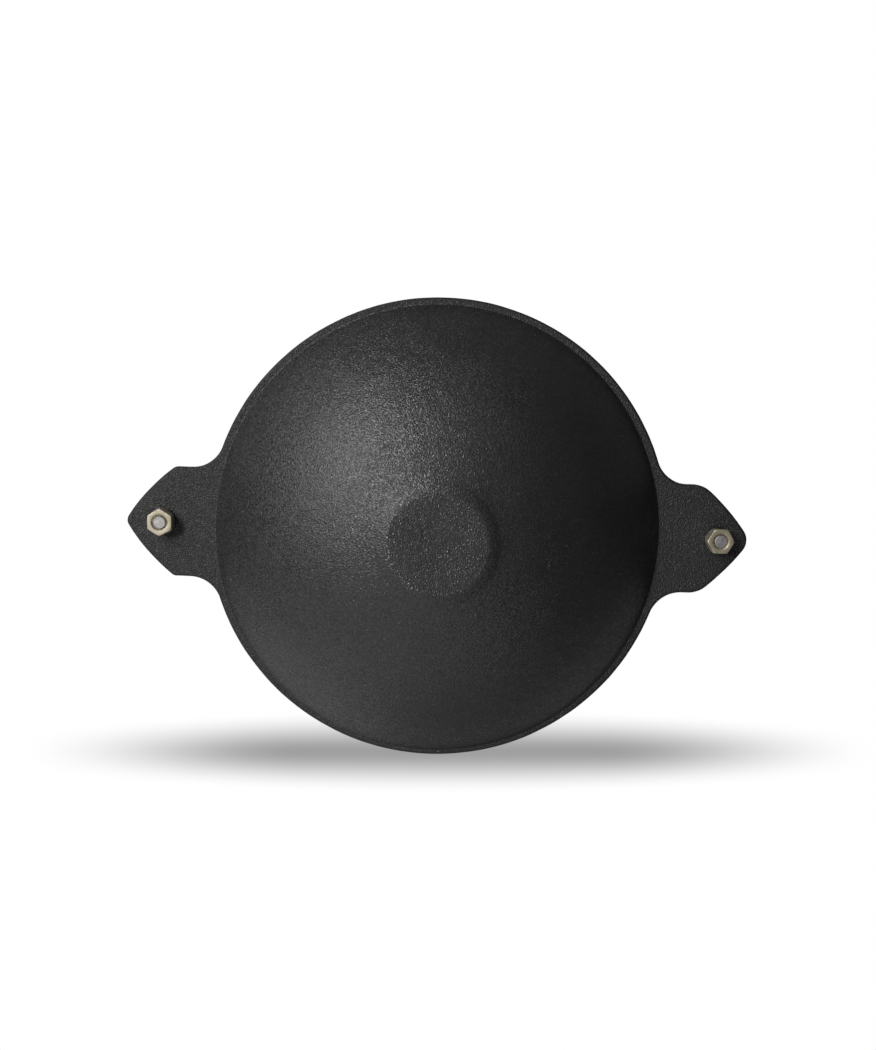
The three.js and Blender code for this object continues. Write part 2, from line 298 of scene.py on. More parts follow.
@dataclass(frozen=True)
class IronFinish:
    """Oiled cast iron: coarse from the sand outside, turned smooth inside."""

    colour: Colour = (0.0132, 0.0125, 0.0129)
    pale: Colour = (0.0158, 0.0151, 0.0155)
    lug: Colour = (0.0085, 0.0081, 0.0083)
    rust: Colour = (0.0195, 0.0148, 0.0152)
    bare: Colour = (0.052, 0.0505, 0.050)
    # Pale specks: scattered dust, and painted glints along the foot's edge.
    dust_and_glint: Colour = (0.42, 0.41, 0.39)
    flange_radius: float = 124.0
    flange_place: Point = (-0.3, 0.55)
    flange_stretch: float = 1.0106
    foot_radius: float = 25.8
    foot_place: Point = (-1.2, 2.2)
    ball_height: float = 170.3
    wall_middle: float = 168.8
    sand_size: float = 0.75
    crystal_size: float = 0.5
    mottle_size: float = 24.0
    stain_size: float = 11.0
    wear_size: float = 1.6
    speck_size: float = 1.5
    drift_size: float = 19.0
    relief: float = 0.24
    lug_relief: float = 0.8
    turning_depth: float = 0.012
    turning_scale: float = 1.4
    bowl_tilt: float = 0.34
    lug_tilt: float = 0.36
    roughness: float = 0.42
    lug_roughness: float = 0.2
    mottle_roughness: float = 0.08
    glitter: float = 0.3
    fleck: float = 0.65
    foot_fleck: float = 0.2
    lug_fleck: float = -0.45
    specular: float = 0.7

    def material(self) -> bpy.types.Material:
        """Builds the finish.

        Returns:
            The material for the casting.
        """
        bench = MaterialBench("sand_cast_iron")
        place = bench.millimetres()
        x, y, z = bench.axes(place)
        rim_x, rim_y = (x - self.flange_place[0]) * self.flange_stretch, y - self.flange_place[1]
        flange = bench.length(rim_x, rim_y).rise(self.flange_radius - 0.5, self.flange_radius + 0.1)
        from_centre = bench.length(x, y, z - self.ball_height)
        wall = from_centre.rise(self.wall_middle - 0.5, self.wall_middle + 0.5)
        inside = (1.0 - flange) * (1.0 - wall)
        foot_x, foot_y = x - self.foot_place[0], y - self.foot_place[1]
        foot_reach = bench.length(foot_x, foot_y)
        foot = (1.0 - inside) * (1.0 - foot_reach.rise(self.foot_radius - 1.0, self.foot_radius + 1.5))
        sand = bench.noise(place, self.sand_size, 0.0)
        crystal = bench.cells(place, self.crystal_size).output("Color")
        gloss, shade, _ = bench.axes(crystal)
        mottle = bench.noise(place, self.mottle_size, 4.0, 0.6)
        edge = bench.attribute("wear")
        wear = edge * bench.noise(place, self.wear_size).rise(0.42, 0.62)
        # Painted glints: pale specks along the foot's edge, heavier towards -X and +Y.
        glint_side = (foot_y * 0.8 - foot_x * 0.6).rise(-self.foot_radius, self.foot_radius)
        specks = self.specks(bench, place, foot_reach, glint_side) * (1.0 - inside)
        circles = {"W": bench.length(x, y), "Scale": self.turning_scale, "Detail": 2.0}
        turning = bench.add("ShaderNodeTexNoise", {"noise_dimensions": "1D"}, circles)
        rough = 1.0 - (inside * 0.93).at_least(edge * 0.85)
        grain = sand * self.relief * (1.0 + flange * self.lug_relief) * rough
        height = grain + turning * inside * self.turning_depth
        tilt = (flange * (self.lug_tilt - self.bowl_tilt) + self.bowl_tilt) * rough
        colour = bench.blend(mottle.rise(0.3, 0.7), self.colour, self.pale)
        colour = bench.blend(flange, colour, self.lug)
        stained = foot * bench.noise(place, self.stain_size, 3.0).rise(0.45, 0.7)
        colour = bench.blend(stained * 0.8, colour, self.rust)
        colour = bench.blend(wear * 0.1, colour, self.bare)
        fleck = foot * self.foot_fleck + flange * self.lug_fleck + self.fleck
        colour = bench.blend(shade.rise(0.6, 1.0) * rough * fleck, colour, self.bare)
        # Pale specks of dust, and painted glints on the foot's edge.
        colour = bench.blend(specks, colour, self.dust_and_glint)
        roughness = self.roughness + flange * self.lug_roughness + mottle * self.mottle_roughness
        return bench.finish(
            {
                "Base Color": colour,
                "Roughness": roughness + (gloss - 0.5) * self.glitter * rough,
                "Specular IOR Level": self.specular,
                "Normal": bench.relief(height, Normal=bench.facets(crystal, tilt)),
            }
        )

    def specks(self, bench: MaterialBench, place: Signal, foot_reach: Signal, glint_side: Signal) -> Signal:
        """Pale specks in the grain: a few of dust scattered about, and most of them painted glints along
        the foot's edge, heavier towards -X and +Y.

        Args:
            bench: The material's bench.
            place: The place in millimetres.
            foot_reach: The distance from the foot's middle.
            glint_side: How far the point lies towards the side of the foot's edge with more painted
                glints, -X and +Y, from 0 to 1.

        Returns:
            The share of pale specks, dust and painted glints, from 0 to 1.
        """
        cell = bench.cells(place, self.speck_size)
        draw, _, _ = bench.axes(cell.output("Color"))
        # Along the foot's edge the pale specks are painted glints, heavier towards -X and +Y.
        ring = foot_reach.band(self.foot_radius - 2.0, self.foot_radius + 1.0, 1.6) * (glint_side * 0.8 + 0.2)
        drift = bench.noise(place, self.drift_size, 1.0).rise(0.45, 0.62)
        chance = draw.rise(0.975, 1.0) * 0.3 * drift + draw.rise(0.5, 0.9) * ring * 0.7
        return (1.0 - cell.rise(0.2, 0.42)) * chance


@dataclass(frozen=True)
class WoodFinish:
    """Turned hardwood under a thin lacquer, its grain along the knob."""

    early: Colour = (0.36, 0.155, 0.058)
    late: Colour = (0.19, 0.066, 0.022)
    pore: Colour = (0.075, 0.026, 0.010)
    axis_reach: float = 153.0
    pith: Point = (16.0, 11.0)
    ring_width: float = 2.3
    lean: float = 0.06
    wander: float = 2.6
    grain_stretch: float = 0.07
    pore_stretch: float = 0.035

    def material(self) -> bpy.types.Material:
        """Builds the finish.

        Returns:
            The material for the knobs.
        """
        bench = MaterialBench("lacquered_hardwood")
        x, y, z = bench.axes(bench.millimetres())
        across = abs(x) - self.axis_reach
        along = bench.vector(across, y, z * self.grain_stretch)
        from_pith = bench.length(across + z * self.lean + self.pith[0], y + self.pith[1])
        wander = bench.noise(along, 7.0) * self.wander
        turn = (from_pith + wander) * (math.tau / self.ring_width)
        ring = bench.maths("SINE", turn) * 0.5 + 0.5
        streak = bench.noise(along, 0.9, 3.0, 0.6)
        pores = bench.noise(bench.vector(across, y, z * self.pore_stretch), 0.35, 1.0).rise(0.63, 0.72)
        colour = bench.blend(ring**2.0 * 0.6 + streak * 0.35, self.early, self.late)
        colour = bench.blend(pores * 0.7, colour, self.pore)
        height = ring * 0.012 - pores * 0.03
        return bench.finish(
            {
                "Base Color": colour,
                "Roughness": 0.42 + streak * 0.12 + pores * 0.15,
                "Normal": bench.relief(height),
                "Coat Weight": 0.25,
                "Coat Roughness": 0.28,
            }
        )


@dataclass(frozen=True)
class PlatedFinish:
    """Plated or blackened steel of a fastener."""

    name: str
    colour: Colour
    stain: Colour
    roughness: float
    grain: float = 0.02

    def material(self) -> bpy.types.Material:
        """Builds the finish.

        Returns:
            The material for one kind of fastener.
        """
        bench = MaterialBench(self.name)
        place = bench.millimetres()
        bloom = bench.noise(place, 2.6, 3.0, 0.6)
        tooling = bench.noise(bench.vector_maths("MULTIPLY", place, (1.0, 0.25, 1.0)), 0.35)
        colour = bench.blend(bloom.rise(0.4, 0.7), self.colour, self.stain)
        return bench.finish(
            {
                "Base Color": colour,
                "Metallic": 1.0,
                "Roughness": self.roughness + (bloom - 0.5) * 0.25 + (tooling - 0.5) * 0.12,
                "Normal": bench.relief((tooling + bloom) * self.grain),
            }
        )


class ShapeTree:
    """A geometry node tree with named sizes, which ends in one realised, dressed mesh."""

    name = "shape"
    floats: tuple[str, ...] = ()
    counts: tuple[str, ...] = ()

    def __init__(self) -> None:
        """Builds the tree with its named inputs."""
        self.tree = bpy.data.node_groups.new(self.name, "GeometryNodeTree")
        self.tree.is_modifier = True
        self.bench = NodeBench(self.tree)
        interface = self.tree.interface
        interface.new_socket("Geometry", in_out="OUTPUT", socket_type="NodeSocketGeometry")
        interface.new_socket("Geometry", in_out="INPUT", socket_type="NodeSocketGeometry")
        kinds = {
            **dict.fromkeys(self.floats, "NodeSocketFloat"),
            **dict.fromkeys(self.counts, "NodeSocketInt"),
            "Material": "NodeSocketMaterial",
        }
        self.keys = {}
        for label, kind in kinds.items():
            made = interface.new_socket(label, in_out="INPUT", socket_type=kind)
            self.keys[label] = made.identifier
        first = self.bench.add("NodeGroupInput")
        sizes = {label: first.output(label) for label in self.keys}
        shape = self.shape(first, sizes)
        smooth = self.bench.add("GeometryNodeSetShadeSmooth", sockets={"Geometry": shape})
        real = self.bench.add("GeometryNodeRealizeInstances", sockets={"Geometry": smooth})
        finish = {"Geometry": real, "Material": sizes["Material"]}
        dressed = self.bench.add("GeometryNodeSetMaterial", sockets=finish)
        self.bench.add("NodeGroupOutput", sockets={"Geometry": dressed})

    def shape(self, geometry: Signal, sizes: Mapping[str, Signal]) -> Signal:
        """Makes the tree's geometry from the incoming mesh and the named inputs."""
        raise NotImplementedError

    def run(self, piece: bpy.types.Object, values: Mapping[str, object]) -> None:
        """Puts the tree on an object.

        Args:
            piece: The object.
            values: The named inputs, lengths in metres.
        """
        modifier = piece.modifiers.new(self.name, "NODES")
        modifier.node_group = self.tree
        for label, value in values.items():
            modifier[self.keys[label]] = value


class CastSkin(ShapeTree):
    """Sinks a casting's skin unevenly, by the mesh's own amount at each point."""

    name = "cast_skin"
    floats = ("Depth", "Swell size", "Lump size")

    def shape(self, geometry: Signal, sizes: Mapping[str, Signal]) -> Signal:
        """Moves each point inwards by smooth noise.

        Args:
            geometry: The casting's mesh.
            sizes: The depth, and the sizes of the two layers of noise.

        Returns:
            The uneven casting.
        """
        bench = self.bench
        place = bench.add("GeometryNodeInputPosition")
        normal = bench.add("GeometryNodeInputNormal")
        amount = bench.add("GeometryNodeInputNamedAttribute", {"data_type": "FLOAT"}, {"Name": "skin"})
        layers = [
            bench.noise(bench.scaled(place, 1.0 / sizes[label]), 1.0, 1.0)
            for label in ("Swell size", "Lump size")
        ]
        sink = (layers[0] * 0.6 + layers[1] * 0.4) * amount * sizes["Depth"]
        offset = bench.scaled(normal, sink * -1.0)
        return bench.add("GeometryNodeSetPosition", sockets={"Geometry": geometry, "Offset": offset})


class Turning(ShapeTree):
    """Turns a closed profile about the Z axis."""

    name = "turning"
    floats = ("Sweep radius",)
    counts = ("Facets",)

    def shape(self, geometry: Signal, sizes: Mapping[str, Signal]) -> Signal:
        """Sweeps the profile along a circle.

        Args:
            geometry: The profile's edges, from the sweep radius outwards and with heights downwards.
            sizes: The sweep's radius and number of facets.

        Returns:
            The turned mesh.
        """
        bench = self.bench
        profile = bench.add("GeometryNodeMeshToCurve", sockets={0: geometry})
        path = bench.add(
            "GeometryNodeCurvePrimitiveCircle",
            {"mode": "RADIUS"},
            {"Resolution": sizes["Facets"], "Radius": sizes["Sweep radius"]},
        )
        return bench.add("GeometryNodeCurveToMesh", sockets={"Curve": path, "Profile Curve": profile})


class Thread(ShapeTree):
    """Cuts a screw thread into the points that lie on one cylinder."""

    name = "thread"
    floats = ("Radius", "Pitch", "Depth", "Start", "End")

    def shape(self, geometry: Signal, sizes: Mapping[str, Signal]) -> Signal:
        """Moves the cylinder's points inwards along a helix.

        Args:
            geometry: A mesh on the screw's axis.
            sizes: The cylinder's radius, the thread's pitch and depth, and its lowest and highest Z.

        Returns:
            The threaded mesh.
        """
        bench = self.bench
        x, y, z = bench.axes(bench.add("GeometryNodeInputPosition"))
        radius = bench.length(x, y)
        on_cylinder = bench.maths("COMPARE", radius, sizes["Radius"], 0.01 * MM)
        turns = z / sizes["Pitch"] - bench.maths("ARCTAN2", y, x) / math.tau
        groove = (1.0 - abs(bench.maths("FRACT", turns) * 2.0 - 1.0)) * 1.25
        fade_in = ((z - sizes["Start"]) / sizes["Pitch"]).at_least(0.0)
        fade_out = ((sizes["End"] - z) / sizes["Pitch"]).at_least(0.0)
        share = groove.at_most(1.0) * fade_in.at_most(fade_out).at_most(1.0) * on_cylinder
        offset = bench.scaled(bench.vector(x / radius, y / radius, 0.0), share * sizes["Depth"] * -1.0)
        return bench.add("GeometryNodeSetPosition", sockets={"Geometry": geometry, "Offset": offset})


class SplitRing(ShapeTree):
    """A bar of rectangular section, bent round into a split ring with slanting ends."""

    name = "split_ring"
    floats = ("Radius", "Width", "Thickness", "Edge", "Gap angle", "Slant", "Middle")
    counts = ("Facets",)

    def shape(self, geometry: Signal, sizes: Mapping[str, Signal]) -> Signal:
        """Sweeps the section along an arc and slants the ends.

        Args:
            geometry: Not used.
            sizes: The ring's sizes, its gap and slant as angles, and the height of its middle.

        Returns:
            The ring.
        """
        bench = self.bench
        path = bench.add(
            "GeometryNodeCurveArc",
            {"mode": "RADIUS"},
            {
                "Resolution": sizes["Facets"],
                "Radius": sizes["Radius"],
                "Start Angle": sizes["Gap angle"] * 0.5,
                "Sweep Angle": math.tau - sizes["Gap angle"],
            },
        )
        section = bench.add(
            "GeometryNodeCurvePrimitiveQuadrilateral",
            {"mode": "RECTANGLE"},
            {"Width": sizes["Width"], "Height": sizes["Thickness"]},
        )
        rounded = bench.add(
            "GeometryNodeFilletCurve",
            {"mode": "POLY"},
            {"Curve": section, "Count": 3, "Radius": sizes["Edge"]},
        )
        sweep = {"Curve": path, "Profile Curve": rounded, "Fill Caps": True}
        bar = bench.add("GeometryNodeCurveToMesh", sockets=sweep)
        x, y, z = bench.axes(bench.add("GeometryNodeInputPosition"))
        turn = z * sizes["Slant"] / sizes["Radius"]
        cosine, sine = bench.maths("COSINE", turn), bench.maths("SINE", turn)
        moved = bench.vector(x * cosine - y * sine, x * sine + y * cosine, z + sizes["Middle"])
        return bench.add("GeometryNodeSetPosition", sockets={"Geometry": bar, "Position": moved})


def linked(name: str, data: bpy.types.ID) -> bpy.types.Object:
    """Makes an object in the scene.

    Args:
        name: Its name.
        data: Its mesh, lamp or camera.

    Returns:
        The object.
    """
    made = bpy.data.objects.new(name, data)
    bpy.context.scene.collection.objects.link(made)
    return made


class Piece:
    """One mesh object of the pan, from its first form to its place in the frame."""

    def __init__(
        self,
        name: str,
        points: np.ndarray,
        faces: Sequence[Sequence[int]] = (),
        edges: Sequence[tuple[int, int]] = (),
    ) -> None:
        """Makes the object.

        Args:
            name: The object's name.
            points: Its points, in millimetres.
            faces: Its faces.
            edges: Its loose edges, for a profile.
        """
        mesh = bpy.data.meshes.new(name)
        mesh.from_pydata((np.asarray(points, float) * MM).tolist(), list(edges), list(faces))
        self.object = linked(name, mesh)

    def keep_values(self, name: str, values: np.ndarray) -> None:
        """Keeps one value at each point of the mesh."""
        layer = self.object.data.attributes.new(name, "FLOAT", "POINT")
        layer.data.foreach_set("value", values.astype(np.float32))

    def bevel(self, width: float, angle: float = 28.0, segments: int = 2) -> None:
        """Rounds the sharp edges.

        Args:
            width: The rounding's width, in millimetres.
            angle: The smallest turn of a sharp edge, in degrees.
            segments: The number of strips in the rounding.
        """
        modifier = self.object.modifiers.new("edges", "BEVEL")
        modifier.width = width * MM
        modifier.segments = segments
        modifier.limit_method = "ANGLE"
        modifier.angle_limit = math.radians(angle)
        modifier.use_clamp_overlap = True

    def cut(self, *tools: "Piece") -> None:
        """Takes other shapes out of this one.

        Args:
            tools: The shapes, which are used up.
        """
        for tool in tools:
            modifier = self.object.modifiers.new("cut", "BOOLEAN")
            modifier.operation = "DIFFERENCE"
            modifier.solver = "EXACT"
            modifier.object = tool.object
        self.settle()
        for tool in tools:
            bpy.data.objects.remove(tool.object)

    def settle(self) -> None:
        """Turns what the modifiers make into a plain mesh."""
        bpy.context.view_layer.update()
        graph = bpy.context.evaluated_depsgraph_get()
        mesh = bpy.data.meshes.new_from_object(
            self.object.evaluated_get(graph), preserve_all_data_layers=True, depsgraph=graph
        )
        self.object.modifiers.clear()
        self.object.data = mesh

    def close(self, sharp_angle: float = 40.0) -> None:
        """Merges doubles, points the faces outwards and shades the mesh.

        Args:
            sharp_angle: The smallest turn of an edge that stays sharp, in degrees.
        """
        mesh = self.object.data
        shell = bmesh.new()
        shell.from_mesh(mesh)
        bmesh.ops.remove_doubles(shell, verts=shell.verts, dist=1e-7)
        bmesh.ops.recalc_face_normals(shell, faces=shell.faces)
        shell.to_mesh(mesh)
        shell.free()
        mesh.polygons.foreach_set("use_smooth", [True] * len(mesh.polygons))
        mesh.set_sharp_from_angle(angle=math.radians(sharp_angle))

    def dress(self, material: bpy.types.Material) -> None:
        """Gives the whole piece one material.

        Args:
            material: The material.
        """
        self.object.data.materials.clear()
        self.object.data.materials.append(material)
        self.object.data.polygons.foreach_set("material_index", [0] * len(self.object.data.polygons))

    def place(self, matrix: Matrix) -> None:
        """Moves the mesh itself to its place."""
        self.object.data.transform(matrix)

    def stand_for(self, node: str) -> None:
        """Ties the finished piece to the frame and reports it.

        Args:
            node: The node that it replaces.
        """
        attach(self.object, BODY)
        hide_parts(node)
        mesh = self.object.data
        mesh.calc_loop_triangles()
        edges = np.zeros(len(mesh.loops), np.int32)
        mesh.loops.foreach_get("edge_index", edges)
        uses = np.bincount(edges, minlength=len(mesh.edges))
        low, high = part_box(node)
        corners = np.array([tuple(corner) for corner in self.object.bound_box])
        drift = max(np.abs(corners.min(0) - low).max(), np.abs(corners.max(0) - high).max())
        LOG.info(
            "%s for %s: %d triangles, %d open edges, %.2f mm from the node's box",
            self.object.name,
            node,
            len(mesh.loop_triangles),
            int((uses != 2).sum()),
            drift / MM,
        )


def polar(radius: float, angle: float, centre: Point = (0.0, 0.0)) -> Point:
    """A point at a distance and angle from a centre."""
    return (centre[0] + radius * math.cos(angle), centre[1] + radius * math.sin(angle))


def arc(centre: Point, radius: float, start: float, end: float, steps: int) -> list[Point]:
    """Points along an arc from one angle to another, both ends included."""
    return [polar(radius, start + (end - start) * i / steps, centre) for i in range(steps + 1)]


def eased(corners: Sequence[Point], radii: Sequence[float], steps: int = 4) -> list[Point]:
    """A chain of straight lines with rounded corners.

    Args:
        corners: The chain's corners, ends included.
        radii: The rounding at each inner corner.
        steps: The number of steps in each rounding.

    Returns:
        The points of the chain.
    """
    chain = [corners[0]]
    for before, corner, after, radius in zip(corners, corners[1:], corners[2:], radii):
        start = (Vector(before) - Vector(corner)).normalized()
        end = (Vector(after) - Vector(corner)).normalized()
        half = start.angle(end) / 2
        reach = radius / math.tan(half)
        middle = Vector(corner) + (start + end).normalized() * (radius / math.sin(half))
        first = Vector(corner) + start * reach - middle
        last = Vector(corner) + end * reach - middle
        for i in range(steps + 1):
            turn = first.slerp(last, i / steps)
            chain.append(tuple(middle + turn.normalized() * radius))
    chain.append(corners[-1])
    return chain


def grid_faces(rows: int, columns: int, first: int = 0, closed: bool = False) -> Faces:
    """Quads between rings of points.

    Args:
        rows: The number of rings.
        columns: The number of points in each.
        first: The number of the first ring's first point.
        closed: Whether the last ring joins the first.

    Returns:
        The faces.
    """
    faces = []
    for row in range(rows if closed else rows - 1):
        low = first + row * columns
        high = first + (row + 1) % rows * columns
        for i in range(columns):
            j = (i + 1) % columns
            faces.append((low + i, low + j, high + j, high + i))
    return faces


def capped_grid(rings: np.ndarray, bottom: float, top: float) -> tuple[np.ndarray, Faces]:
    """A closed shell of rings with a pole at each end.

    Args:
        rings: The rings' points, from the lower pole to the upper one.
        bottom: The lower pole's height.
        top: The upper pole's height.

    Returns:
        The points and the faces.
    """
    rows, columns, _ = rings.shape
    points = np.vstack([[[0, 0, bottom]], rings.reshape(-1, 3), [[0, 0, top]]])
    faces = grid_faces(rows, columns, 1)
    last = 1 + (rows - 1) * columns
    for i in range(columns):
        j = (i + 1) % columns
        faces.append((0, 1 + j, 1 + i))
        faces.append((len(points) - 1, last + i, last + j))
    return points, faces


def turned_rings(profile: Sequence[Point], facets: int, start: float = 0.0) -> np.ndarray:
    """Rings of a profile turned about the Z axis.

    Args:
        profile: Radius and height of each ring.
        facets: The number of points in a ring.
        start: The first point's angle.

    Returns:
        The rings' points.
    """
    angles = start + np.arange(facets) * math.tau / facets
    radius, height = np.array(profile).T
    x = np.outer(radius, np.cos(angles))
    y = np.outer(radius, np.sin(angles))
    return np.stack([x, y, np.repeat(height[:, None], facets, 1)], 2)


def rod(name: str, radius: float, bottom: float, top: float, centre: Point) -> Piece:
    """A plain round bar for cutting a hole.

    Args:
        name: The tool's name.
        radius: The hole's radius.
        bottom: The bar's lower end.
        top: The bar's upper end.
        centre: Its axis.

    Returns:
        The tool.
    """
    rings = turned_rings([(radius, bottom), (radius, top)], 48, 0.03)
    points, faces = capped_grid(rings, bottom, top)
    return Piece(name, points + np.array([*centre, 0.0]), faces)


@dataclass(frozen=True)
class Ball:
    """The ball that a bowl surface belongs to."""

    radius: float
    centre: float

    @classmethod
    def through(cls, lowest: float, edge_radius: float, edge_height: float) -> "Ball":
        """The ball through a lowest point and a level edge.

        Args:
            lowest: The height of the lowest point, on the axis.
            edge_radius: The edge's radius.
            edge_height: The edge's height.

        Returns:
            The ball.
        """
        depth = edge_height - lowest
        radius = (edge_radius**2 + depth**2) / (2 * depth)
        return cls(radius, lowest + radius)

    def profile(self, reaches: Sequence[float]) -> list[Point]:
        """Distance from the axis and height of points on the lower surface."""
        return [(reach, self.centre - math.sqrt(self.radius**2 - reach**2)) for reach in reaches]


@dataclass
class Casting:
    """The iron casting: bowl, rim, foot and both lugs in one."""

    height: float = 58.0
    rim_radius: float = 127.0
    rim_width: float = 4.6
    rim_thickness: float = 6.5
    ledge_width: float = 3.3
    floor_thickness: float = 4.0
    foot_radius: float = 25.6
    foot_edge: float = 4.0
    foot_turn: float = 10.0
    foot_slope: float = 24.0
    foot_slope_radius: float = 25.7
    foot_blend: float = 4.0
    foot_easing: Point = (2.0, 40.0)
    foot_cut: float = 1.0
    foot_hollow: float = 0.45
    foot_hollow_inset: float = 2.5
    lean: Point = (-1.2, 2.2)
    lean_fade: float = 0.75
    squash: float = 0.0105
    edge_radius: float = 1.5
    corner_radius: float = 0.8
    lug_length: float = 44.2
    lug_half_width: float = 30.4
    lug_fillet: float = 17.6
    hole_radius: float = 4.5
    seat_radius: float = 13.5
    gate_place: Point = (-5.2, -3.4)
    gate_radius: float = 3.6
    gate_depth: float = 0.1
    skin_depth: float = 0.4
    skin_inside: float = 0.15
    skin_on_top: float = 0.35
    swell_size: float = 21.0
    lump_size: float = 6.5

    def __post_init__(self) -> None:
        """Works out the sizes that follow from the others."""
        self.ledge = self.height - self.rim_thickness
        self.bowl_radius = self.rim_radius - self.ledge_width
        self.tip_reach = self.rim_radius + self.lug_length
        self.outer = Ball.through(-self.foot_cut, self.bowl_radius, self.ledge)
        self.inner = Ball.through(self.floor_thickness, self.rim_radius - self.rim_width, self.height)

    def outline(self) -> tuple[np.ndarray, np.ndarray]:
        """The rim's and lugs' outline, seen from above.

        Returns:
            The points, and the outward normal at each.
        """
        rise = self.lug_half_width + self.lug_fillet
        reach = math.sqrt((self.rim_radius + self.lug_fillet) ** 2 - rise**2)
        meeting = math.atan2(rise, reach)
        rim = self.bend((0.0, 0.0), self.rim_radius, meeting, math.pi - meeting, 124)
        fillet = self.bend((reach, rise), -self.lug_fillet, -math.pi / 2, meeting - math.pi, 18)
        halves = []
        for side in (Side.RIGHT, Side.LEFT):
            upper = [*self.lug_head(side.lug, reach), *fillet]
            lower = [(x, -y, nx, -ny) for x, y, nx, ny in reversed(upper[1:])]
            halves.append(np.array([*lower, *upper, *rim]) * math.cos(side.heading))
        whole = np.vstack(halves)
        return whole[:, :2], whole[:, 2:]

    def lug_head(self, lug: LugShape, reach: float) -> Bend:
        """The upper half of a lug that points to the right, from its tip to its fillet.

        Args:
            lug: The lug's own sizes.
            reach: Where its fillet begins.

        Returns:
            Place and normal of each point.
        """
        shoulder = Vector((reach + lug.straight, self.lug_half_width - lug.shoulder))
        tip = Vector((self.tip_reach - lug.tip, 0.0))
        run = tip - shoulder
        to_shoulder, to_tip = lug.flank - lug.shoulder, lug.flank - lug.tip
        cosine = (to_shoulder**2 + run.length_squared - to_tip**2) / (2 * to_shoulder * run.length)
        flank = Vector(polar(to_shoulder, math.atan2(run.y, run.x) - math.acos(cosine), shoulder))
        shoulder_turn = math.atan2(shoulder.y - flank.y, shoulder.x - flank.x)
        tip_turn = math.atan2(tip.y - flank.y, tip.x - flank.x)
        return [
            *self.bend(tip, lug.tip, 0.0, tip_turn, 6),
            *self.bend(flank, lug.flank, tip_turn, shoulder_turn, 18),
            *self.bend(shoulder, lug.shoulder, shoulder_turn, math.pi / 2, 9),
            *self.straight((shoulder.x, self.lug_half_width), (reach, self.lug_half_width), 4),
        ]

    @staticmethod
    def bend(centre: Point, radius: float, start: float, end: float, steps: int) -> Bend:
        """Points and normals along an arc of the outline, without its last point.

        Args:
            centre: The arc's centre.
            radius: Its radius, negative where the outline is hollow.
            start: Its first angle.
            end: Its last angle.
            steps: The number of steps.

        Returns:
            Place and normal of each point.
        """
        points = []
        for i in range(steps):
            angle = start + (end - start) * i / steps
            normal = polar(math.copysign(1.0, radius), angle)
            points.append((*polar(abs(radius), angle, centre), *normal))
        return points

    @staticmethod
    def straight(first: Point, last: Point, steps: int) -> Bend:
        """Points and normals along a straight part of the outline, without its last point.

        Args:
            first: Its first point.
            last: Its last point.
            steps: The number of steps.

        Returns:
            Place and normal of each point.
        """
        run = Vector(last) - Vector(first)
        normal = Vector((run.y, -run.x)).normalized()
        return [(*(Vector(first) + run * (i / steps)), *normal) for i in range(steps)]

    def outside_profile(self) -> list[Point]:
        """Works out the bowl's outside.

        Returns:
            Radius and height of the rings from the foot's middle to the ledge's inner edge.
        """
        rest = self.foot_radius - self.foot_hollow_inset
        flat = [
            (r, self.foot_hollow * (1 - (r / rest) ** 2) ** 2 if r < rest else 0.0)
            for r in np.arange(0.9, self.foot_radius - 1.0, 0.9)
        ]
        turn, slope = math.radians(self.foot_turn), math.radians(self.foot_slope)
        down = -math.pi / 2
        edge = arc((self.foot_radius, self.foot_edge), self.foot_edge, down, down + turn, 3)
        hub = polar(self.foot_slope_radius, down + turn + math.pi, edge[-1])
        side = arc(hub, self.foot_slope_radius, down + turn, down + slope, 7)
        blend = side[-1][0] + self.foot_blend
        start, after = self.outer.profile([blend, blend + 6.0])
        step = eased([side[-2], side[-1], start, after], self.foot_easing, 5)
        wall = self.outer.profile(np.linspace(blend + 8.0, self.bowl_radius - 3.0, 42))
        end = self.outer.profile([self.bowl_radius - 1.6])
        ledge = [(self.bowl_radius, self.ledge), (self.bowl_radius + 1.0, self.ledge)]
        corner = eased([*end, *ledge], [self.corner_radius], 3)
        return [*flat, *edge[:-1], *side[:-2], *step, *wall, *corner[:-1]]

    def inside_profile(self) -> list[Point]:
        """Works out the bowl's inside.

        Returns:
            Radius and height of the rings from the rim's inner edge to the bowl's floor.
        """
        drop = self.inner.centre - self.height + self.edge_radius
        lip = math.sqrt((self.inner.radius + self.edge_radius) ** 2 - drop**2)
        meeting = math.atan2(drop, -lip)
        edge = arc((lip, self.height - self.edge_radius), self.edge_radius, math.pi / 2, meeting, 5)
        return [*edge, *self.inner.profile(np.linspace(edge[-1][0] - 2.0, 3.0, 34))]

    def rings(self) -> tuple[np.ndarray, np.ndarray]:
        """The casting's rings of points, from the foot over the rim to the bowl's floor.

        Returns:
            The points, and each ring's wear.
        """
        outline, normal = self.outline()
        angle = np.arctan2(outline[:, 1], outline[:, 0])
        round_ring = np.stack([np.cos(angle), np.sin(angle)], 1)
        edge = outline - self.edge_radius * normal
        rings, wear = [], []

        def add(plan: np.ndarray, level: float, worn: float = 0.0) -> None:
            """Adds one level ring."""
            rings.append(np.column_stack([plan, np.full(len(plan), level)]))
            wear.append(worn)

        def round_edge(turns: np.ndarray, level: float, lift: float) -> None:
            """Adds the rings of one rounded edge.

            Args:
                turns: The angles of its rings, from the flat face outwards or back.
                level: The flat face's height.
                lift: The edge's radius, negative where it falls away from the face.
            """
            for turn in turns:
                inset = self.edge_radius * (1 - math.sin(turn))
                add(outline - inset * normal, level + lift * (1 - math.cos(turn)), math.sin(2 * turn))

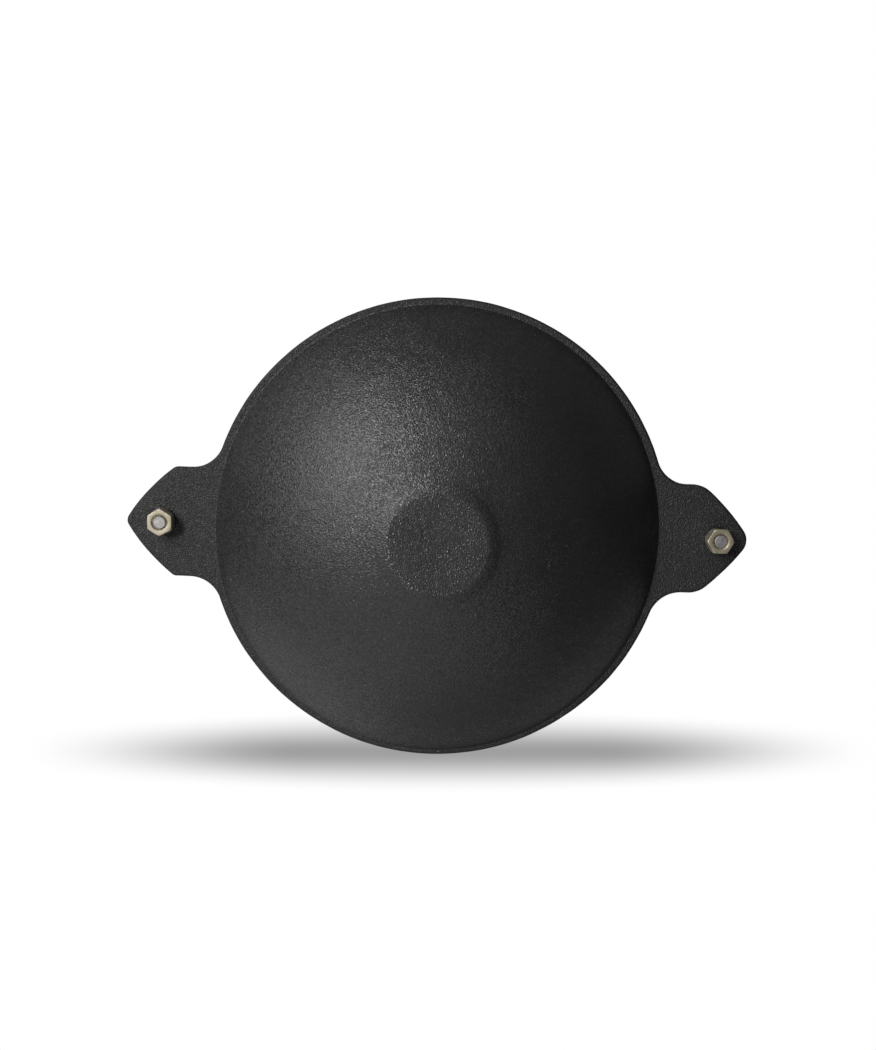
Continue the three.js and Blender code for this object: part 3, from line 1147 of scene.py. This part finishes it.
        for radius, level in self.outside_profile():
            outwards = (radius / self.bowl_radius) ** 2
            start = radius * round_ring * (1 - self.squash * outwards, 1.0)
            start += np.array(self.lean) * (1 - self.lean_fade * outwards)
            add(start, level)
        for share in np.linspace(0, 1, 22)[1:-1]:
            add(start + (edge - start) * share, self.ledge)
        quarter = np.linspace(0, math.pi / 2, 6)
        round_edge(quarter, self.ledge, self.edge_radius)
        add(outline, (self.ledge + self.height) / 2)
        round_edge(quarter[::-1], self.height, -self.edge_radius)
        inside = self.inside_profile()
        start = inside[0][0] * round_ring
        for share in np.linspace(1, 0, 18)[1:-1]:
            add(start + (edge - start) * share, self.height)
        for radius, level in inside:
            worn = math.exp(-((radius - inside[2][0]) ** 2)) * 0.7
            add(radius * round_ring, level, worn if radius > self.bowl_radius - 1.5 else 0.0)
        return np.array(rings), np.array(wear)

    def build(self, skin: CastSkin, finish: bpy.types.Material) -> None:
        """Makes, dresses and ties the casting.

        Args:
            skin: The tree that makes its skin uneven.
            finish: Its material.
        """
        rings, wear = self.rings()
        points, faces = capped_grid(rings, self.foot_hollow, self.floor_thickness)
        points[0, :2] = self.lean
        radius = np.hypot(points[:, 0], points[:, 1])
        gate = np.hypot(points[:, 0] - self.gate_place[0], points[:, 1] - self.gate_place[1])
        on_foot = points[:, 2] < self.floor_thickness - 0.5
        mark = np.exp(-(((gate - self.gate_radius) / 0.7) ** 2)) + 0.35 * (gate < self.gate_radius)
        points[:, 2] += np.where(on_foot, self.gate_depth * mark, 0.0)
        screws = [side.screw_place for side in Side]
        from_screw = np.min([np.hypot(points[:, 0] - x, points[:, 1]) for x in screws], 0)
        amount = np.clip((from_screw - self.seat_radius) / 6.0, 0.0, 1.0)
        amount *= np.where(on_foot, np.clip((radius - self.foot_radius - 2.0) / 8.0, 0.0, 1.0), 1.0)
        within = radius**2 + (points[:, 2] - self.outer.centre) ** 2 < (self.outer.radius - 2.5) ** 2
        amount *= np.where((radius < self.bowl_radius) & within, self.skin_inside, 1.0)
        amount *= np.where(points[:, 2] > self.height - 0.1, self.skin_on_top, 1.0)
        casting = Piece("casting", points, faces)
        casting.keep_values("skin", amount)
        casting.keep_values("wear", np.concatenate([[0.0], np.repeat(wear, rings.shape[1]), [0.0]]))
        sizes = zip(CastSkin.floats, (self.skin_depth, self.swell_size, self.lump_size))
        skin.run(casting.object, {**{label: size * MM for label, size in sizes}, "Material": finish})
        bars = [rod("hole", self.hole_radius, self.ledge - 5, self.height + 5, (x, 0.0)) for x in screws]
        casting.cut(*bars)
        casting.close(50.0)
        casting.dress(finish)
        casting.stand_for("pan_body")


@dataclass(frozen=True)
class Workshop:
    """The node trees and finishes that both knob sets share."""

    turning: Turning
    thread: Thread
    split_ring: SplitRing
    wood: bpy.types.Material
    steel: bpy.types.Material
    washer_steel: bpy.types.Material
    spring_steel: bpy.types.Material
    zinc: bpy.types.Material


@dataclass
class KnobSet:
    """One lug's turned knob with its screw, nut and washers."""

    side: Side
    shop: Workshop
    lug_top: float = 58.0
    lug_underside: float = 51.5
    hole_radius: float = 4.5
    knob_height: float = 48.0
    base_radius: float = 12.5
    waist_radius: float = 10.0
    waist_height: float = 15.0
    crown_radius: float = 14.5
    crown_drop: float = 12.0
    knob_edge: float = 1.2
    lip_width: float = 1.4
    recess: float = 2.4
    recess_clearance: float = 0.6
    screw_radius: float = 4.0
    screw_chamfer: float = 0.6
    screw_tip: float = 2.4
    screw_crown: float = 0.08
    shank: float = 4.0
    thread_run_in: float = 0.9
    thread_pitch: float = 1.25
    thread_depth: float = 0.68
    thread_clearance: float = 0.15
    head_radius: float = 6.5
    head_height: float = 5.0
    head_edge: float = 1.2
    slot_width: float = 2.0
    slot_depth: float = 2.2
    nut_flats: float = 13.0
    nut_height: float = 6.5
    nut_corner: float = 0.35
    nut_face_radius: float = 6.75
    nut_face_inset: float = 0.15
    nut_chamfer: float = 30.0
    nut_edge: float = 0.22
    nut_countersink: float = 4.6
    washer_clearance: float = 0.3
    flat_washer_radius: float = 8.0
    flat_washer_thickness: float = 1.6
    spring_radius: float = 7.4
    spring_thickness: float = 2.0
    spring_edge: float = 0.3
    spring_gap: float = 1.2
    spring_slant: float = 25.0

    def __post_init__(self) -> None:
        """Works out the heights that follow from the sizes."""
        self.top = self.lug_top + self.knob_height
        self.recess_radius = max(self.flat_washer_radius, self.head_radius) + self.recess_clearance
        self.recess_floor = self.top - self.recess - self.head_height - self.flat_washer_thickness
        self.head_seat = self.recess_floor + self.flat_washer_thickness
        self.nut_seat = self.lug_underside - self.spring_thickness
        self.screw_end = self.nut_seat - self.nut_height
        turn = Matrix.Rotation(self.side.heading, 4, "Z")
        shift = Matrix.Translation((self.side.screw_place * MM, 0, 0))
        self.stand = shift @ turn

    def build(self) -> None:
        """Makes the five pieces of the set."""
        self.build_knob()
        self.build_screw()
        self.build_flat_washer()
        self.build_spring_washer()
        self.build_nut()

    def complete(self, piece: Piece, node: str, finish: bpy.types.Material) -> None:
        """Settles, dresses, places and ties one piece.

        Args:
            piece: The piece, on the screw's axis.
            node: The last part of its node's name.
            finish: Its material.
        """
        piece.settle()
        piece.close()
        piece.dress(finish)
        piece.place(self.stand)
        piece.stand_for(f"{self.side.value}_{node}")

    def turned(self, name: str, loop: Sequence[Point], facets: int) -> Piece:
        """A piece turned from a closed profile.

        Args:
            name: The piece's name.
            loop: Radius and height along the profile.
            facets: The number of facets.

        Returns:
            The piece, not yet settled.
        """
        sweep = loop[0][0]
        points = [(radius - sweep, -height, 0.0) for radius, height in loop]
        edges = [(i, (i + 1) % len(loop)) for i in range(len(loop))]
        piece = Piece(f"{self.side.value}_{name}", np.array(points), edges=edges)
        self.shop.turning.run(piece.object, {"Sweep radius": sweep * MM, "Facets": facets})
        return piece

    @staticmethod
    def swell(first: Point, last: Point, steps: int) -> list[Point]:
        """A smooth curve between two upright ends of a profile, without its first point.

        Args:
            first: Radius and height of the lower end.
            last: Radius and height of the upper end.
            steps: The number of steps.

        Returns:
            The points.
        """
        middle = (first[1] + last[1]) / 2
        points = []
        for i in range(1, steps + 1):
            t = i / steps
            a, b, c, d = (1 - t) ** 3, 3 * t * (1 - t) ** 2, 3 * t**2 * (1 - t), t**3
            level = a * first[1] + (b + c) * middle + d * last[1]
            points.append(((a + b) * first[0] + (c + d) * last[0], level))
        return points

    def build_knob(self) -> None:
        """Turns the wooden knob."""
        base, waist = self.lug_top, self.lug_top + self.waist_height
        crown = self.top - self.crown_drop
        lip = self.recess_radius + self.lip_width
        edge = self.knob_edge
        rounding = arc((self.base_radius - edge, base + edge), edge, -math.pi / 2, 0.0, 5)
        width, rise = self.crown_radius - lip, self.top - crown
        quarter = np.linspace(0, math.pi / 2, 15)[1:]
        crown_arc = [(lip + width * math.cos(turn), crown + rise * math.sin(turn)) for turn in quarter]
        well = eased(
            [
                (lip - 0.2, self.top),
                (self.recess_radius, self.top),
                (self.recess_radius, self.recess_floor),
                (self.hole_radius, self.recess_floor),
                (self.hole_radius, base),
            ],
            [0.6, 0.4, 0.3],
            3,
        )
        loop = [
            *rounding,
            *self.swell(rounding[-1], (self.waist_radius, waist), 16),
            *self.swell((self.waist_radius, waist), (self.crown_radius, crown), 20),
            *crown_arc,
            *well,
        ]
        knob = self.turned("turned_knob", loop, 72)
        self.complete(knob, "knob", self.shop.wood)

    def build_flat_washer(self) -> None:
        """Turns the plain washer under the screw's head."""
        bore = self.screw_radius + self.washer_clearance
        low, high = self.recess_floor, self.head_seat
        radius = self.flat_washer_radius
        middle = (bore + radius) / 2
        loop = eased(
            [(middle, low), (radius, low), (radius, high), (bore, high), (bore, low), (middle, low)],
            [0.25, 0.35, 0.2, 0.2],
            3,
        )
        washer = self.turned("plain_washer", loop[:-1], 64)
        self.complete(washer, "flat_washer", self.shop.washer_steel)

    def build_spring_washer(self) -> None:
        """Bends the split spring washer between lug and nut."""
        bore = self.screw_radius + self.washer_clearance
        middle = (bore + self.spring_radius) / 2
        washer = Piece(f"{self.side.value}_split_washer", np.zeros((1, 3)))
        sizes = {
            "Radius": middle * MM,
            "Width": (self.spring_radius - bore) * MM,
            "Thickness": self.spring_thickness * MM,
            "Edge": self.spring_edge * MM,
            "Gap angle": self.spring_gap / middle,
            "Slant": math.tan(math.radians(self.spring_slant)),
            "Middle": (self.nut_seat + self.lug_underside) / 2 * MM,
            "Facets": 64,
        }
        self.shop.split_ring.run(washer.object, sizes)
        self.complete(washer, "spring_washer", self.shop.spring_steel)

    def cut_thread(self, piece: Piece, radius: float, start: float, end: float) -> None:
        """Cuts the thread into one cylinder of a piece, between two heights."""
        values = zip(Thread.floats, (radius, self.thread_pitch, self.thread_depth, start, end))
        self.shop.thread.run(piece.object, {label: value * MM for label, value in values})

    def build_screw(self) -> None:
        """Makes the slotted screw, head up."""
        top = self.head_seat + self.head_height
        radius, end = self.screw_radius, self.screw_end
        tip_radius = radius - self.screw_chamfer
        thread_end = self.head_seat - self.shank
        thread_start = end + self.screw_tip + self.screw_chamfer
        levels = np.arange(thread_start, thread_end, self.thread_pitch / 8)
        head_middle = (self.head_radius - self.head_edge, top - self.head_edge)
        profile = [
            *[(r, end - self.screw_crown * (1 - r / 3)) for r in (1.2, 2.2)],
            (tip_radius - 0.3, end),
            (tip_radius, end + 0.3),
            (tip_radius, end + self.screw_tip),
            *[(radius, level) for level in levels],
            (radius, self.head_seat - 0.2),
            (radius + 0.2, self.head_seat),
            (self.head_radius - 0.2, self.head_seat),
            (self.head_radius, self.head_seat + 0.2),
            *arc(head_middle, self.head_edge, 0.0, math.pi / 2, 6),
            (2.5, top),
        ]
        points, faces = capped_grid(turned_rings(profile, 48), end - self.screw_crown, top)
        screw = Piece(f"{self.side.value}_slotted_screw", points, faces)
        half, deep = self.slot_width / 2, top - self.slot_depth
        side = [(half, deep), (half, top - 0.15), (half + 0.3, top + 2)]
        mirrored = [(-x, level) for x, level in reversed(side)]
        section = eased([*mirrored, *side], [0.2, 0.3, 0.3, 0.2], 3)
        reach = self.head_radius + 2
        bar = np.array([[(x, y, level) for x, level in section] for y in (-reach, reach)])
        count = len(section)
        ends = [tuple(range(count)), tuple(range(2 * count - 1, count - 1, -1))]
        tool = Piece("slot", bar.reshape(-1, 3), [*grid_faces(2, count), *ends])
        tool.close()
        screw.cut(tool)
        self.cut_thread(screw, radius, thread_start - self.thread_run_in, thread_end)
        self.complete(screw, "screw", self.shop.steel)

    def hexagon(self) -> np.ndarray:
        """The nut's outline with slightly rounded corners.

        Returns:
            The points, counter-clockwise.
        """
        flat = self.nut_flats / 2
        corner = flat / math.cos(math.pi / 6)
        middle = corner - self.nut_corner / math.cos(math.pi / 6)
        points = []
        for i in range(6):
            angle = self.side.nut_turn + i * math.pi / 3
            centre = polar(middle, angle)
            points += arc(centre, self.nut_corner, angle - math.pi / 6, angle + math.pi / 6, 3)
            start = Vector(points[-1])
            end = Vector(polar(self.nut_corner, angle + math.pi / 6, polar(middle, angle + math.pi / 3)))
            points += [tuple(start.lerp(end, share)) for share in np.linspace(0, 1, 9)[1:-1]]
        return np.array(points)

    def build_nut(self) -> None:
        """Makes the hexagon nut, chamfered and countersunk on both faces."""
        outline = self.hexagon()
        reach = np.hypot(outline[:, 0], outline[:, 1])
        round_ring = outline / reach[:, None]
        low, high = self.screw_end, self.nut_seat
        bore = self.screw_radius + self.thread_clearance
        sink = self.nut_countersink - bore
        face = np.minimum(self.nut_face_radius, reach - self.nut_face_inset)
        chamfer = (reach - face) * math.tan(math.radians(self.nut_chamfer))

        def ring(plan: np.ndarray, level: np.ndarray | float) -> np.ndarray:
            """One ring of the nut."""
            return np.column_stack([plan, np.broadcast_to(level, len(plan))])

        levels = np.arange(high - sink, low + sink, -self.thread_pitch / 8)
        rings = [
            ring(self.nut_countersink * round_ring, low),
            ring(face[:, None] * round_ring, low),
            ring(outline, low + chamfer),
            ring(outline, high - chamfer),
            ring(face[:, None] * round_ring, high),
            ring(self.nut_countersink * round_ring, high),
            *[ring(bore * round_ring, level) for level in levels],
            ring(bore * round_ring, low + sink),
        ]
        points = np.array(rings)
        faces = grid_faces(len(rings), len(outline), closed=True)
        nut = Piece(f"{self.side.value}_plated_nut", points.reshape(-1, 3), faces)
        nut.bevel(self.nut_edge)
        self.cut_thread(nut, bore, low + sink * 0.2, high - sink * 0.2)
        self.complete(nut, "hex_nut", self.shop.zinc)


@dataclass(frozen=True)
class SoftBox:
    """A square studio lamp, placed by its angles as seen from the pan."""

    name: str
    off_axis: float
    heading: float
    size: float
    power: float
    distance: float = 0.9
    aim_level: float = 0.03

    def build(self) -> None:
        """Sets up the lamp, unseen by the camera; off_axis counts from straight below."""
        light = bpy.data.lights.new(self.name, "AREA")
        light.shape = "SQUARE"
        light.size = self.size
        light.energy = self.power
        lamp = linked(self.name, light)
        off_axis, heading = math.radians(self.off_axis), math.radians(self.heading)
        outwards = Vector((*polar(math.sin(off_axis), heading), -math.cos(off_axis)))
        lamp.location = Vector((0.0, 0.0, self.aim_level)) + outwards * self.distance
        lamp.rotation_euler = outwards.to_track_quat("Z", "Y").to_euler()
        lamp.visible_camera = False


@dataclass
class Studio:
    """Floor, soft light and camera. The pan is seen from below, as in the photograph."""

    image: tuple[int, int] = (876, 1050)
    sensor: float = 36.0
    focal_pixels: float = 1161.0
    distance: float = 0.640
    tilt: float = 6.13
    lean: float = -1.14
    roll: float = 2.09
    target: tuple[float, float, float] = (0.0, 0.0, 0.0515)
    target_pixel: Point = (438.5, 530.5)
    floor_half: float = 30.0
    floor_colour: Colour = (0.87, 0.87, 0.87)
    ambient: float = 0.42
    below: float = 0.006
    sun: float = 1.75
    sun_angle: float = 50.0
    sun_place: tuple[float, float, float] = (-0.35, -0.3, 1.0)
    shade_middle: Point = (0.012, 0.1282)
    shade_reach: Point = (0.2006, 0.0256)
    shade_turn: float = -1.8
    shade_level: float = 0.063
    shade_depth: float = 0.65
    shade_taper: float = 0.35
    shade_fall: Point = (0.42, 1.245)
    lamps: tuple[SoftBox, ...] = (
        SoftBox("key", 40.0, 201.0, 0.4, 12.4, distance=1.6),
        SoftBox("upper_key", 52.0, 226.0, 0.4, 9.0, distance=1.6),
        SoftBox("top", 40.0, 270.0, 0.4, 0.55),
        SoftBox("fill", 46.0, 98.0, 1.1, 2.3),
        SoftBox("edge_left", 92.0, 130.0, 0.8, 1.35),
        SoftBox("edge_right", 100.0, 45.0, 0.6, 0.22),
    )

    def build(self) -> None:
        """Sets up the whole stage."""
        self.build_floor()
        self.build_shade()
        self.build_world()
        for lamp in self.lamps:
            lamp.build()
        self.build_sun()
        self.build_camera()

    @staticmethod
    def plane(name: str, half: Point, middle: Point, level: float) -> bpy.types.Object:
        """A level stage plane of four cells, seen by the camera alone.

        Args:
            name: Its name.
            half: Half its sides.
            middle: Its middle.
            level: Its height.

        Returns:
            The object.
        """
        rows = [middle[1] + v * half[1] for v in (-1, 0, 1)]
        points = [(middle[0] + u * half[0], y, level) for y in rows for u in (-1, 0, 1)]
        faces = [(i, i + 1, i + 4, i + 3) for i in (0, 1, 3, 4)]
        mesh = bpy.data.meshes.new(name)
        mesh.from_pydata(points, [], faces)
        plane = linked(name, mesh)
        for ray in ("diffuse", "glossy", "transmission", "shadow"):
            setattr(plane, f"visible_{ray}", False)
        return plane

    def build_floor(self) -> None:
        """Lays the pale floor, which is clear from below."""
        floor = self.plane("floor", (self.floor_half, self.floor_half), (0.0, 0.0), 0.0)
        bench = MaterialBench("pale_floor")
        matt = bench.add("ShaderNodeBsdfDiffuse", sockets={"Color": (*self.floor_colour, 1.0)})
        clear = bench.add("ShaderNodeBsdfTransparent")
        under = bench.add("ShaderNodeNewGeometry", output="Backfacing")
        mixed = bench.add("ShaderNodeMixShader", sockets={0: under, 1: matt, 2: clear})
        bench.add("ShaderNodeOutputMaterial", sockets={"Surface": mixed})
        floor.data.materials.append(bench.material)

    def build_shade(self) -> None:
        """Hangs the soft shadow behind the pan, which shows from below alone."""
        half = (self.shade_reach[0] * 1.4, self.shade_reach[1] * 1.6)
        card = self.plane("shadow_card", half, self.shade_middle, self.shade_level)
        bench = MaterialBench("soft_shadow")
        x, y, _ = bench.axes(bench.add("ShaderNodeTexCoord", output="Object"))
        turn = math.radians(self.shade_turn)
        right, back = x - self.shade_middle[0], y - self.shade_middle[1]
        along = abs(right * math.cos(turn) + back * math.sin(turn)) / self.shade_reach[0]
        across = abs(back * math.cos(turn) - right * math.sin(turn)) / self.shade_reach[1]
        taper = 1.0 - along * along * self.shade_taper
        fall = (1.0 - along.rise(*self.shade_fall)) * (1.0 - (across / taper).rise(0.0, 1.0))
        under = bench.add("ShaderNodeNewGeometry", output="Backfacing")
        level = 1.0 - fall * under * self.shade_depth
        tint = bench.vector(level, level, level)
        clear = bench.add("ShaderNodeBsdfTransparent", sockets={"Color": tint})
        bench.add("ShaderNodeOutputMaterial", sockets={"Surface": clear})
        card.data.materials.append(bench.material)

    def build_world(self) -> None:
        """Lights the stage evenly from above, white where it is seen or mirrored."""
        world = bpy.data.worlds.new("studio")
        bpy.context.scene.world = world
        world.use_nodes = True
        bench = NodeBench(world.node_tree)
        _, _, z = bench.axes(bench.add("ShaderNodeTexCoord", output="Generated"))
        sky = z.rise(0.15, 0.5) * self.ambient
        seen = bench.add("ShaderNodeLightPath", output="Is Camera Ray")
        mirrored = seen.output("Is Glossy Ray").at_least(seen.output("Is Transmission Ray"))
        around = sky.at_least(mirrored * z.rise(0.35, 0.75)) + self.below
        light = {"Color": (1.0, 1.0, 1.0, 1.0), "Strength": seen + (1.0 - seen) * around}
        white = bench.add("ShaderNodeBackground", sockets=light)
        bench.add("ShaderNodeOutputWorld", sockets={"Surface": white})

    def build_sun(self) -> None:
        """Adds the broad light from above."""
        light = bpy.data.lights.new("overhead", "SUN")
        light.energy = self.sun
        light.angle = math.radians(self.sun_angle)
        lamp = linked("overhead", light)
        lamp.rotation_euler = Vector(self.sun_place).to_track_quat("Z", "Y").to_euler()

    def build_camera(self) -> None:
        """Puts the camera where the photograph was taken from."""
        tilt, lean, roll = (math.radians(angle) for angle in (self.tilt, self.lean, self.roll))
        sideways = math.cos(lean)
        ahead = Vector((-math.sin(lean), math.sin(tilt) * sideways, math.cos(tilt) * sideways))
        place = Vector(self.target) - ahead * self.distance
        level_right = Vector((0.0, 1.0, 0.0)).cross(ahead).normalized()
        level_down = ahead.cross(level_right)
        right = level_right * math.cos(roll) - level_down * math.sin(roll)
        down = level_right * math.sin(roll) + level_down * math.cos(roll)
        scale = self.distance / self.focal_pixels
        off_right = (self.image[0] / 2 - self.target_pixel[0]) * scale
        off_down = (self.image[1] / 2 - self.target_pixel[1]) * scale
        aim = Vector(self.target) + right * off_right + down * off_down
        back = (place - aim).normalized()
        across = (-down).cross(back).normalized()
        upwards = back.cross(across)
        data = bpy.data.cameras.new("camera")
        data.sensor_width = self.sensor
        data.lens = self.focal_pixels * self.sensor / max(self.image)
        data.clip_start = 0.01
        data.clip_end = 200.0
        camera = linked("camera", data)
        basis = Matrix((across, upwards, back)).transposed().to_4x4()
        camera.matrix_world = Matrix.Translation(place) @ basis
        bpy.context.scene.camera = camera


def main() -> None:
    """Builds the pan and its stage, and reports each piece."""
    logging.basicConfig(level=logging.INFO, format="%(message)s")
    bpy.context.scene.view_settings.view_transform = "Standard"
    platings = (
        PlatedFinish("bright_steel", (0.52, 0.51, 0.50), (0.36, 0.34, 0.33), 0.62),
        PlatedFinish("washer_steel", (0.50, 0.50, 0.49), (0.38, 0.37, 0.36), 0.38),
        PlatedFinish("spring_steel", (0.11, 0.108, 0.104), (0.06, 0.058, 0.055), 0.4),
        PlatedFinish("yellow_zinc", (0.58, 0.53, 0.42), (0.46, 0.40, 0.28), 0.6),
    )
    finishes = [finish.material() for finish in (WoodFinish(), *platings)]
    shop = Workshop(Turning(), Thread(), SplitRing(), *finishes)
    Casting().build(CastSkin(), IronFinish().material())
    for side in Side:
        KnobSet(side, shop).build()
    Studio().build()


if __name__ == "__main__":
    main()
